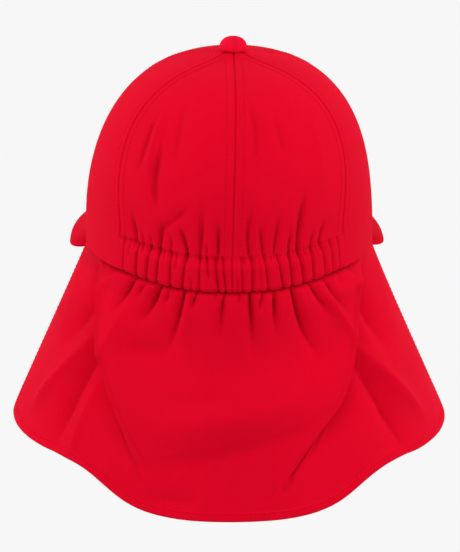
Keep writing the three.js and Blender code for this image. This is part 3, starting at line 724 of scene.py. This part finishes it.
def rib_valleys(turn, share):
    """Depth of the valleys between the ribs: for each, a wide rounded one a little to the right and
    a narrow one in the middle, eased off where a short one ends."""
    per_turn = arc * rim_half_length
    summed = 0 * turn
    for top, foot, depth, wide, reach in casing_valleys:
        away = (turn - (foot + (top - foot) * share) * rear_seam_turn) * per_turn
        valley = wide * fade(away + casing_lean, casing_valley_width)
        valley = valley + (1 - wide) * fade(away, casing_sharp_width)
        if reach < 0:
            valley = valley * (1 - ease(share, -reach - valley_end_share, -reach + valley_end_share))
        elif reach < 1:
            end = 1 - reach
            valley = valley * ease(share, end - valley_end_share, end + valley_end_share)
        summed = summed + depth * valley
    return summed


def casing_outward(turn, share):
    """How far the casing stands out: level with the crown's cloth at the top, a flat ridge over
    most of the height and a sunk foot, less the valleys, which fade into the crown's gathers. In
    the lower half it keeps a wall's thickness off the back face."""
    top = crown_relief(turn, rise_at(casing_top(turn)))
    ridge = casing_ridge - (casing_ridge - top) * ease(share, casing_ridge_share, 1)
    foot = (1 - ease(share, 0, casing_foot_share)) * (casing_ridge + casing_foot_sink)
    kept = 1 - top_valley_loss * ease(share, top_valley_share, 1)
    valleys = casing_valley * rib_valleys(turn, share) * kept
    deepest = casing_wall - casing_depth - 3 * casing_wall * ease(share, 0.5, 0.9)
    return np.maximum(ridge - foot - valleys, deepest)


def casing_place(turn, share, outward):
    """A place of the casing: on the dome at a share of the casing's height, moved outward, with
    the foot drawn up in the valleys."""
    rise = rise_at(share * casing_top(turn))
    place = dome_point(turn, rise) + dome_normal(turn, rise) * outward[..., None]
    drawn_up = np.clip(rib_valleys(turn, share), 0, 1) * (1 - ease(share, 0, casing_scallop_share))
    place[..., 2] += casing_scallop * drawn_up
    return place


casing_turn, casing_share = np.meshgrid(
    np.linspace(-rear_seam_turn, rear_seam_turn, 620), np.linspace(1, 0, 54), indexing="ij")
casing_out = casing_outward(casing_turn, casing_share)
casing_in = np.minimum(-casing_depth, casing_out - casing_wall)
casing = cloth_mesh(
    "gathered_casing", casing_place(casing_turn, casing_share, casing_out),
    casing_place(casing_turn, casing_share, casing_in), casing_cloth)
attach(casing, "root")
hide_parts("elastic_casing")

stitch_turn = np.linspace(-stitch_end_share, stitch_end_share, 900) * rear_seam_turn
stitch_level = casing_stitch_share + 0 * stitch_turn
stitch_path = casing_place(stitch_turn, stitch_level, casing_outward(stitch_turn, stitch_level))
casing_row = stitch_row(stitch_path, dome_normal(stitch_turn, 0 * stitch_turn), stitch_pitch)
stitching("casing_stitching", [casing_row])

# Neck flap
# One layer of the twill, cut flat as a ring's sector, gathered into the casing and tucked up
# inside the rim at both sides. It flares over the neck and ears, and its open edges are turned in
# and stitched as a narrow hem.
flap_cloth = cloth_material("flap_twill")
flap_top_turn = 106
flap_hem_turn = 97
flap_flare_side = 40.2
flap_flare_back = 21
flap_side_ease = 1.02
flap_back_ease = 1.7
flap_drop_back = 116
flap_drop_side = 95.5
flap_tuck = 5.5
flap_tuck_gap = 0.4
flap_corner_radius = 16
flap_wall = 0.9
hem_width = 4.8
hem_thickness = 1.9
hem_stitch_line = hem_width - 0.8
bag_lift = 6.5
bag_edge_width = 1.8
bag_edge_spread = 1.6
bag_fade = (0.38, 0.88)
bag_rim_lift = 0.8
bag_rim_width = 2.0
bag_rim_fade = (0.7, 1)
bag_shade_depth = 3.0
bag_shade_width = 8
wing_hollow = 7
wing_hollow_start = 4
wing_hollow_width = 48
belly_hollow = 6.5
belly_hollow_drop = 0.3
belly_hollow_height = 0.2
belly_hollow_fade = (0.25, 0.5)
hem_kick = 4.5
hem_kick_start = 0.6
hem_kick_power = 1.5
hem_kick_turn = 0.34
table_soft_step = 0.06
flap_fold_depth = 4
flap_fold_width = 5
gathered_rise = 0.025
tucked_rise = 0.14
casing_end_shares = (0.46, 0.58)
rim_wave_loss = 8

# The bag's edges on the left and on the right, in shares of the half width, at a drop share.
bag_edges = [
    (0.00, 0.630, 0.620),
    (0.10, 0.552, 0.530),
    (0.25, 0.519, 0.465),
    (0.35, 0.495, 0.440),
    (0.48, 0.440, 0.396),
    (0.58, 0.402, 0.345),
    (0.69, 0.346, 0.250),
    (0.77, 0.293, 0.197),
    (0.85, 0.255, 0.142),
    (0.92, 0.218, 0.106),
    (1.00, 0.190, 0.075),
]

# The share of the extra drop that the hem has on the left and on the right, at a turn share.
hem_dips = [
    (0.00, 1.00, 1.00),
    (0.13, 1.00, 1.00),
    (0.20, 0.95, 0.95),
    (0.25, 0.86, 0.86),
    (0.30, 0.70, 0.70),
    (0.35, 0.43, 0.43),
    (0.40, 0.17, 0.21),
    (0.45, 0.03, 0.09),
    (0.50, -0.03, 0.05),
    (0.60, -0.03, 0.10),
    (0.75, -0.01, 0.12),
    (1.00, 0.00, 0.12),
]

# A fold's turn and drop at its start, on its way and at its end, then its width and depth. Turns
# are shares of the flap's half width, and drops are shares of its length at the side.
flap_folds = [
    (0.380, 0.00, 0.400, 0.06, 0.455, 0.22, 0.60, -0.9),
    (0.330, 0.00, 0.345, 0.04, 0.370, 0.10, 0.40, -0.5),
    (0.272, 0.00, 0.295, 0.08, 0.360, 0.22, 0.75, -1.2),
    (0.240, 0.00, 0.240, 0.04, 0.250, 0.10, 0.40, -0.6),
    (0.180, 0.00, 0.190, 0.09, 0.245, 0.32, 0.75, -1.1),
    (0.130, 0.00, 0.140, 0.04, 0.150, 0.11, 0.40, -0.8),
    (0.060, 0.00, 0.060, 0.03, 0.055, 0.07, 0.35, -0.5),
    (0.030, 0.00, 0.040, 0.08, 0.045, 0.26, 0.60, -0.8),
    (-0.020, 0.00, -0.020, 0.03, -0.020, 0.07, 0.35, -0.6),
    (-0.060, 0.00, -0.065, 0.10, -0.070, 0.32, 0.65, -1.2),
    (-0.110, 0.00, -0.100, 0.05, -0.085, 0.11, 0.40, -0.7),
    (-0.150, 0.00, -0.150, 0.09, -0.150, 0.24, 0.50, -1.0),
    (-0.220, 0.00, -0.235, 0.10, -0.320, 0.38, 0.75, -1.2),
    (-0.290, 0.00, -0.315, 0.06, -0.390, 0.22, 0.60, -0.8),
    (-0.355, 0.00, -0.375, 0.06, -0.460, 0.22, 0.60, -0.6),
    (-0.430, 0.00, -0.425, 0.03, -0.420, 0.07, 0.40, -0.4),
    (0.600, 0.02, 0.625, 0.20, 0.690, 0.50, 1.60, -1.2),
    (-0.580, 0.02, -0.585, 0.20, -0.630, 0.50, 1.60, -1.2),
    (0.420, 0.36, 0.300, 0.30, 0.160, 0.27, 2.00, -0.5),
    (0.395, 0.10, 0.425, 0.28, 0.485, 0.52, 1.20, 0.5),
    (0.155, 0.02, 0.175, 0.12, 0.185, 0.26, 0.90, 0.4),
    (-0.345, 0.02, -0.395, 0.18, -0.455, 0.40, 0.80, 0.5),
    (0.530, 0.25, 0.622, 0.58, 0.770, 0.92, 1.60, 1.2),
    (0.505, 0.30, 0.545, 0.64, 0.555, 1.05, 1.40, -1.4),
    (0.475, 0.52, 0.475, 0.78, 0.490, 1.05, 1.40, 0.7),
    (-0.440, 0.24, -0.530, 0.52, -0.720, 0.92, 1.60, 1.2),
    (-0.450, 0.34, -0.497, 0.70, -0.550, 1.05, 1.40, -1.3),
    (-0.345, 0.58, -0.233, 0.71, -0.110, 0.91, 0.35, -0.6),
    (0.300, 0.46, 0.120, 0.47, -0.060, 0.44, 2.00, -0.4),
    (0.360, 0.82, 0.020, 0.70, -0.400, 0.56, 2.20, -0.6),
    (0.280, 0.64, 0.040, 0.56, -0.240, 0.47, 2.40, 0.5),
    (0.260, 0.92, 0.160, 0.92, 0.060, 0.90, 1.20, -0.3),
]


def read_table(rows, at, turn_share):
    """A table of a share, a left and a right value, rounded: straight lines between its rows, read
    up to a soft step to either side and weighed by one plus a cosine. Left is for positive turns."""
    keys, on_left, on_right = zip(*rows)
    steps = 24
    left_read, right_read = 0, 0
    for move in np.linspace(-1, 1, steps + 1)[1:-1]:
        place = at + move * table_soft_step
        weight = (1 + math.cos(math.pi * move)) / steps
        left_read = left_read + weight * np.interp(place, keys, on_left)
        right_read = right_read + weight * np.interp(place, keys, on_right)
    return np.where(turn_share > 0, left_read, right_read)


def flap_half_width(drop_share):
    """Half width along the cloth: the rim's arc at the top, growing evenly to the hem's arc."""
    rim_radius = (rim_half_width + rim_half_length) / 2
    hem_radius = (rim_half_width + flap_flare_side + rim_half_length + flap_flare_back) / 2
    top, hem = arc * flap_top_turn * rim_radius, arc * flap_hem_turn * hem_radius
    return top + (hem - top) * np.maximum(0, drop_share)


def flap_drop(turn_share):
    """Length from rim to hem: the side drop plus the table's share of the extra drop behind."""
    dip = read_table(hem_dips, np.abs(turn_share), turn_share)
    return flap_drop_side + (flap_drop_back - flap_drop_side) * dip


def flap_relief(turn_share, drop_share):
    """The cloth's own relief: the bag, which is the proud gathered middle with a rim just inside
    its edges and a hollow just outside them, plus the kick of the hem, less the belly's hollow,
    plus the folds of the table, firm at the casing. All of it starts from nothing at the rim."""
    half = flap_half_width(0.5)
    x, y = turn_share * half, drop_share * flap_drop_side
    inside = half * read_table(bag_edges, drop_share, turn_share) - np.abs(x)
    soft = bag_edge_width * (1 + bag_edge_spread * ease(drop_share, 0.45, 0.95))
    bag = bag_lift * ease(inside, -soft, soft)
    bag = bag - bag_shade_depth * fade(inside + bag_shade_width, bag_shade_width)
    wing = ease(-inside, 0, wing_hollow_start) * np.clip(1 + inside / wing_hollow_width, 0, 1)
    bag = (bag - wing_hollow * wing) * (1 - ease(drop_share, *bag_fade))
    rim = bag_rim_lift * fade(inside - bag_rim_width, bag_rim_width)
    rim = rim * (1 - ease(drop_share, *bag_rim_fade))
    kicked = np.clip((drop_share - hem_kick_start) / (1 - hem_kick_start), 0, 1) ** hem_kick_power
    kick = hem_kick * kicked * fade(turn_share, hem_kick_turn)
    hollow = belly_hollow * fade(drop_share - belly_hollow_drop, belly_hollow_height)
    hollow = hollow * (1 - ease(np.abs(turn_share), *belly_hollow_fade))
    folds = folds_relief(
        x, y, flap_folds, np.array([half, flap_drop_side]), flap_fold_width, flap_fold_depth, 0)
    rise = gathered_rise + tucked_rise * ease(np.abs(turn_share), *casing_end_shares)
    return (bag + rim + kick - hollow + folds) * ease(drop_share, -0.01, rise)


def flap_point(turn_share, drop_share, depth):
    """The flap: a cone from the rim's oval out to the hem's, straight at the sides and bellied at
    the back, tucked up inside the rim at the top, plus its relief along the level normal."""
    down = np.maximum(0, drop_share)
    turn = (flap_top_turn + (flap_hem_turn - flap_top_turn) * down) * turn_share
    behind_casing = 1 - ease(np.abs(turn), rear_seam_turn + 1, rear_seam_turn + 8)
    behind_panel = crown_wall + flap_tuck_gap - crown_relief(turn, 0 * turn)
    inset = (behind_panel + (casing_depth + flap_tuck_gap - behind_panel) * behind_casing) * (1 - down)
    hang = 1 - (1 - down) ** flap_back_ease
    x = (rim_half_width - inset + flap_flare_side * down ** flap_side_ease) * np.sin(turn * arc)
    y = (rim_half_length - inset + flap_flare_back * hang) * np.cos(turn * arc)
    z = np.where(drop_share < 0, -drop_share * flap_tuck, -down * flap_drop(turn_share))
    z = z + rim_wave(turn) * (1 - down) ** rim_wave_loss
    outward = flap_relief(turn_share, drop_share) - depth
    return np.stack([x, y, z], axis=-1) + dome_normal(turn, 0 * turn) * outward[..., None]


def round_corner(from_front, from_hem):
    """Bends the last stretch of both edges onto a quarter circle: a square's rings to arcs."""
    i = 1 - from_front / flap_corner_radius
    j = 1 - from_hem / flap_corner_radius
    inside = (i > 0) & (j > 0)
    reach = np.maximum(np.maximum(i, j), 1e-9)
    angle = np.where(i >= j, np.pi / 4 * j / reach, np.pi / 2 - np.pi / 4 * i / reach)
    bent_front = flap_corner_radius * (1 - reach * np.cos(angle))
    bent_hem = flap_corner_radius * (1 - reach * np.sin(angle))
    return np.where(inside, bent_front, from_front), np.where(inside, bent_hem, from_hem)


def flap_crossing(side, front_share, from_front, row_share, from_hem):
    """Where a column and a row cross, as shares of turn and drop, and the distance to the nearest
    open edge. A column or row is given by its share, or in millimetres beside the edges."""
    hem_line = np.where(np.isnan(from_hem), flap_drop_side * (1 - row_share), from_hem)
    half = flap_half_width(1 - hem_line / flap_drop_side)
    front_line = np.where(np.isnan(from_front), half * (1 - np.abs(front_share)), from_front)
    bent_front, bent_hem = round_corner(front_line, hem_line)
    turn_share = side * (1 - bent_front / half)
    drop_share = np.where(np.isnan(from_hem), row_share, 1 - bent_hem / flap_drop(turn_share))
    return turn_share, drop_share, np.minimum(front_line, hem_line)


def hem_faces(sign, turn_share, drop_share, from_edge):
    """One face of the flap: half the wall out or in, the hem's doubled wall within its width, a
    groove along its stitching and a half-round where it is turned over."""
    hemmed = (1 - ease(from_edge, hem_width - 0.5, hem_width + 0.5)) * (drop_share > 0)
    wall = flap_wall + (hem_thickness - flap_wall) * hemmed
    turned = np.sqrt(np.clip(1 - (1 - np.clip(from_edge / (0.5 * wall), 0, 1)) ** 2, 0, 1))
    wall = wall * np.where(drop_share > 0, turned, 1)
    groove = stitch_groove * fade(from_edge - hem_stitch_line, stitch_groove_width) * (drop_share > 0)
    return flap_point(turn_share, drop_share, flap_wall / 2 - sign * (wall / 2 - groove))


# Columns and rows lie close together at the turned edge and at the hem's stitches.
edge_steps = np.concatenate([
    [0, 0.1, 0.3, 0.6, 1.0, 1.6, 2.4, 3.0], np.arange(3.4, 5.7, 0.22),
    np.linspace(6, flap_corner_radius, 12)])
edge_side = np.ones(len(edge_steps))
middle_share = 1 - flap_corner_radius / flap_half_width(0)
middle_columns = np.linspace(-middle_share, middle_share, 300)[1:-1]
column_side = np.concatenate([-edge_side, np.sign(middle_columns), edge_side])
column_share = np.concatenate([edge_steps * np.nan, middle_columns, edge_steps * np.nan])
column_mm = np.concatenate([edge_steps, middle_columns * np.nan, edge_steps[::-1]])
corner_drop = 1 - flap_corner_radius / flap_drop_side
share_rows = np.concatenate([[-1, -0.5], np.linspace(0, corner_drop, 100)[:-1]])
row_share = np.concatenate([share_rows, edge_steps * np.nan])
row_mm = np.concatenate([share_rows * np.nan, edge_steps[::-1]])
crossing = flap_crossing(
    column_side[:, None], column_share[:, None], column_mm[:, None], row_share[None], row_mm[None])
flap = cloth_mesh("gathered_flap", hem_faces(1, *crossing), hem_faces(-1, *crossing), flap_cloth)
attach(flap, "root")
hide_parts("neck_flap")

# Hem stitching
# One row of the same thread, in slightly longer stitches, that holds the turned hem all the way
# round the open edges.
hem_stitch_pitch = 2.5


def along_hem(side, from_front, from_hem, row):
    """Place and normal on the hem's face where its stitch line crosses a column or a row."""
    nothing = np.full_like(side, np.nan)
    where = flap_crossing(side, nothing, from_front, row, from_hem)
    place = hem_faces(1, *where)
    return place, unit(place - hem_faces(-1, *where))


def hem_path():
    """The stitch line: down the right front edge, round the corner, along the hem and up again."""
    down = np.linspace(0.01, corner_drop, 90)
    corner = np.linspace(flap_corner_radius, hem_stitch_line, 30)
    half = flap_half_width(1 - hem_stitch_line / flap_drop_side)
    level = np.linspace(flap_corner_radius, half, 220)[1:]
    at_line = [0 * part + hem_stitch_line for part in (down, corner, level)]
    fronts = np.concatenate([at_line[0], at_line[1], corner[::-1], level])
    hems = np.concatenate([down * np.nan, corner, at_line[1], at_line[2]])
    rows = np.concatenate([down, corner * np.nan, corner * np.nan, level * np.nan])
    right = along_hem(-np.ones_like(fronts), fronts, hems, rows)
    left = along_hem(np.ones_like(fronts), fronts, hems, rows)
    return [np.concatenate([first, second[::-1][1:]]) for first, second in zip(right, left)]


stitching("hem_stitching", [stitch_row(*hem_path(), hem_stitch_pitch)])

# Peak
# A stiff curved board between two layers of the twill, sewn under the front of the rim, with
# rows of topstitching that follow its outer edge.
peak_cloth = cloth_material("peak_twill")
peak_low, peak_high = (np.array(corner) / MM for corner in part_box("peak"))
peak_half_width = (peak_high[0] - peak_low[0]) / 2
peak_tip = -peak_low[1]
peak_thickness = 3
peak_corner_setback = 50
peak_corner_radius = 14
peak_corner_turn = 100
peak_front_share = 0.86
peak_fullness = 2.3
peak_corner_drop = 14
peak_corner_climb = 0.35
peak_tip_drop = 10
peak_camber = 2.5
peak_camber_spread = 0.4
peak_seat_wall = 1.2
peak_seat_gap = 0.3
peak_edge_share = 0.04
peak_depth = 55
peak_groove = 0.28
peak_groove_width = 0.7
peak_rows = (0.045, 0.13, 0.215, 0.30)


def peak_outline(share):
    """The outer edge from the tip (0) to the end of the seam (1 or -1): a power oval in front, then
    a short arc for the rear corner, climbing back towards the rim."""
    side, size = np.sign(share), np.abs(share)
    sweep = np.clip(size / peak_front_share, 0, 1) * np.pi / 2
    reach = peak_tip - peak_corner_setback
    front = np.stack([
        side * peak_half_width * np.sin(sweep) ** (2 / peak_fullness),
        -peak_corner_setback - reach * np.clip(np.cos(sweep), 0, 1) ** (2 / peak_fullness),
        -peak_corner_drop + (peak_corner_drop - peak_tip_drop) * np.cos(sweep)], axis=-1)
    past = np.clip((size - peak_front_share) / (1 - peak_front_share), 0, 1)
    angle = math.radians(peak_corner_turn) * past
    corner = np.stack([
        side * (peak_half_width - peak_corner_radius * (1 - np.cos(angle))),
        -peak_corner_setback + peak_corner_radius * np.sin(angle),
        -peak_corner_drop * (1 - peak_corner_climb * past ** 2)], axis=-1)
    return np.where((size <= peak_front_share)[..., None], front, corner)


def peak_top(share, outward):
    """The board's upper face: straight from the rim's seat to the outline, bulged by a squared
    sine halfway out, less a groove under each row of topstitching."""
    turn = 180 - peak_turn * share
    seat = dome_point(turn, 0 * turn) - dome_normal(turn, 0 * turn) * peak_seat_wall
    seat[..., 2] -= peak_seat_gap
    place = seat + (peak_outline(share) - seat) * outward[..., None]
    bulge = np.sin(np.pi * outward) ** 2 * np.cos(share * np.pi * peak_camber_spread)
    groove = sum(fade((1 - outward - row) * peak_depth, peak_groove_width) for row in peak_rows)
    place[..., 2] += peak_camber * bulge - peak_groove * groove
    return place


corner_shares = np.linspace(1, peak_front_share, 40)
front_shares = np.linspace(peak_front_share, -peak_front_share, 220)[1:-1]
peak_shares = np.concatenate([corner_shares, front_shares, -corner_shares[::-1]])
flat_outs = np.linspace(0, 1 - peak_edge_share, 70)
edge_outs = 1 - peak_edge_share * np.cos(np.linspace(0, np.pi / 2, 10))[1:]
peak_share, peak_out = np.meshgrid(peak_shares, np.concatenate([flat_outs, edge_outs]), indexing="ij")

# The edge is a half-round: both faces draw in to the middle of the board.
edge_sweep = np.clip((peak_out - flat_outs[-1]) / peak_edge_share, 0, 1)
edge_round = peak_thickness / 2 * (1 - np.sqrt(np.clip(1 - edge_sweep ** 2, 0, 1)) * 0.999)
straight_up = np.array([0, 0, 1.0])
peak_face = peak_top(peak_share, peak_out)
peak = cloth_mesh(
    "stitched_peak", peak_face - straight_up * edge_round[..., None],
    peak_face + straight_up * (edge_round - peak_thickness)[..., None], peak_cloth)
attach(peak, "root")
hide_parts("peak")

peak_stitch_rows = []
stitch_shares = np.linspace(stitch_end_share, -stitch_end_share, 500)
for row in peak_rows:
    on_row = 0 * stitch_shares + 1 - row
    path = peak_top(stitch_shares, on_row)
    outwards = path - peak_top(stitch_shares, on_row - 0.02)
    face_normal = unit(np.cross(np.gradient(path, axis=0), outwards))
    face_normal *= np.sign(face_normal[:, 2:])
    peak_stitch_rows.append(stitch_row(path, face_normal, stitch_pitch))
stitching("peak_topstitching", peak_stitch_rows)

# Studio
# A plain pale floor that glows evenly and throws no light up at the cap, in a white room that is
# dimmer underfoot and brightest overhead, with two soft lights at the sides and two weaker ones
# behind the camera. Lengths are metres here, and the room's tones go from down (0) to up (1).
floor_size = 160
floor_drop = 3.6
floor_glow = 0.90
floor_grey = (0.03, 0.03, 0.03, 1)
room_tones = ((0.0, 0.45), (0.25, 0.45), (0.42, 0.92), (0.60, 0.92), (0.75, 0.9), (1.0, 1.25))
scene = bpy.context.scene
scene.view_settings.view_transform = "Standard"
bpy.ops.mesh.primitive_plane_add(size=floor_size, location=(0, 0, -floor_drop))
floor = bpy.context.object
floor.name = "studio_floor"
floor.visible_diffuse = False
floor.visible_glossy = False
paper = bpy.data.materials.new("pale_paper")
paper.use_nodes = True
paper_shader = paper.node_tree.nodes["Principled BSDF"]
paper_shader.inputs["Base Color"].default_value = floor_grey
paper_shader.inputs["Roughness"].default_value = 1.0
paper_shader.inputs["Specular IOR Level"].default_value = 0.0
paper_shader.inputs["Emission Color"].default_value = (1, 1, 1, 1)
paper_shader.inputs["Emission Strength"].default_value = floor_glow
floor.data.materials.append(paper)

world = bpy.data.worlds.new("white_room")
world.use_nodes = True
room = world.node_tree
direction = group_node(room, "ShaderNodeTexCoord")
steepness = group_node(room, "ShaderNodeSeparateXYZ")
from_below = group_node(room, "ShaderNodeMapRange")
tone = group_node(room, "ShaderNodeValToRGB")
from_below.inputs["From Min"].default_value = -1
room.links.new(direction.outputs["Object"], steepness.inputs[0])
room.links.new(steepness.outputs["Z"], from_below.inputs["Value"])
room.links.new(from_below.outputs["Result"], tone.inputs["Fac"])
room.links.new(tone.outputs["Color"], room.nodes["Background"].inputs["Color"])
while len(tone.color_ramp.elements) < len(room_tones):
    tone.color_ramp.elements.new(0.5)
for stop, (stop_share, grey) in zip(tone.color_ramp.elements, room_tones):
    stop.position = stop_share
    stop.color = (grey, grey, grey, 1)
scene.world = world


def soft_light(name, place, size, power):
    """A square area light at a place, turned towards the cap, of a power in watts."""
    lamp = bpy.data.lights.new(name, "AREA")
    lamp.size = size
    lamp.energy = power
    light = bpy.data.objects.new(name, lamp)
    light.location = place
    aim = -np.array(place)
    flat = math.hypot(aim[0], aim[1])
    light.rotation_euler = (math.pi / 2 + math.atan2(aim[2], flat), 0, math.atan2(-aim[0], aim[1]))
    scene.collection.objects.link(light)


soft_light("left_light", (1.7, 0.0, -0.1), 0.7, 6.5)
soft_light("right_light", (-1.7, 0.0, 0.1), 0.7, 6)
soft_light("left_front_light", (1.25, 1.25, 0.9), 0.4, 3)
soft_light("right_front_light", (-1.25, 1.25, 0.9), 0.4, 3.5)

# Camera
# Behind the cap and a little above it, far off, as the photograph was taken. Its distance, its
# target and its reach are metres too.
camera_distance = 1.9
camera_elevation = math.radians(17.5)
camera_turn = math.radians(1.3)
camera_target = np.array([-0.0005, 0, -0.0204])
camera_lens = 231.6
camera_reach = 100
camera_data = bpy.data.cameras.new("camera")
camera_data.lens = camera_lens
camera_data.clip_end = camera_reach
camera = bpy.data.objects.new("camera", camera_data)
camera.location = camera_target + camera_distance * np.array([
    math.sin(camera_turn) * math.cos(camera_elevation),
    math.cos(camera_turn) * math.cos(camera_elevation), math.sin(camera_elevation)])
camera.rotation_euler = (math.pi / 2 - camera_elevation, 0, math.pi - camera_turn)
scene.collection.objects.link(camera)
scene.camera = camera
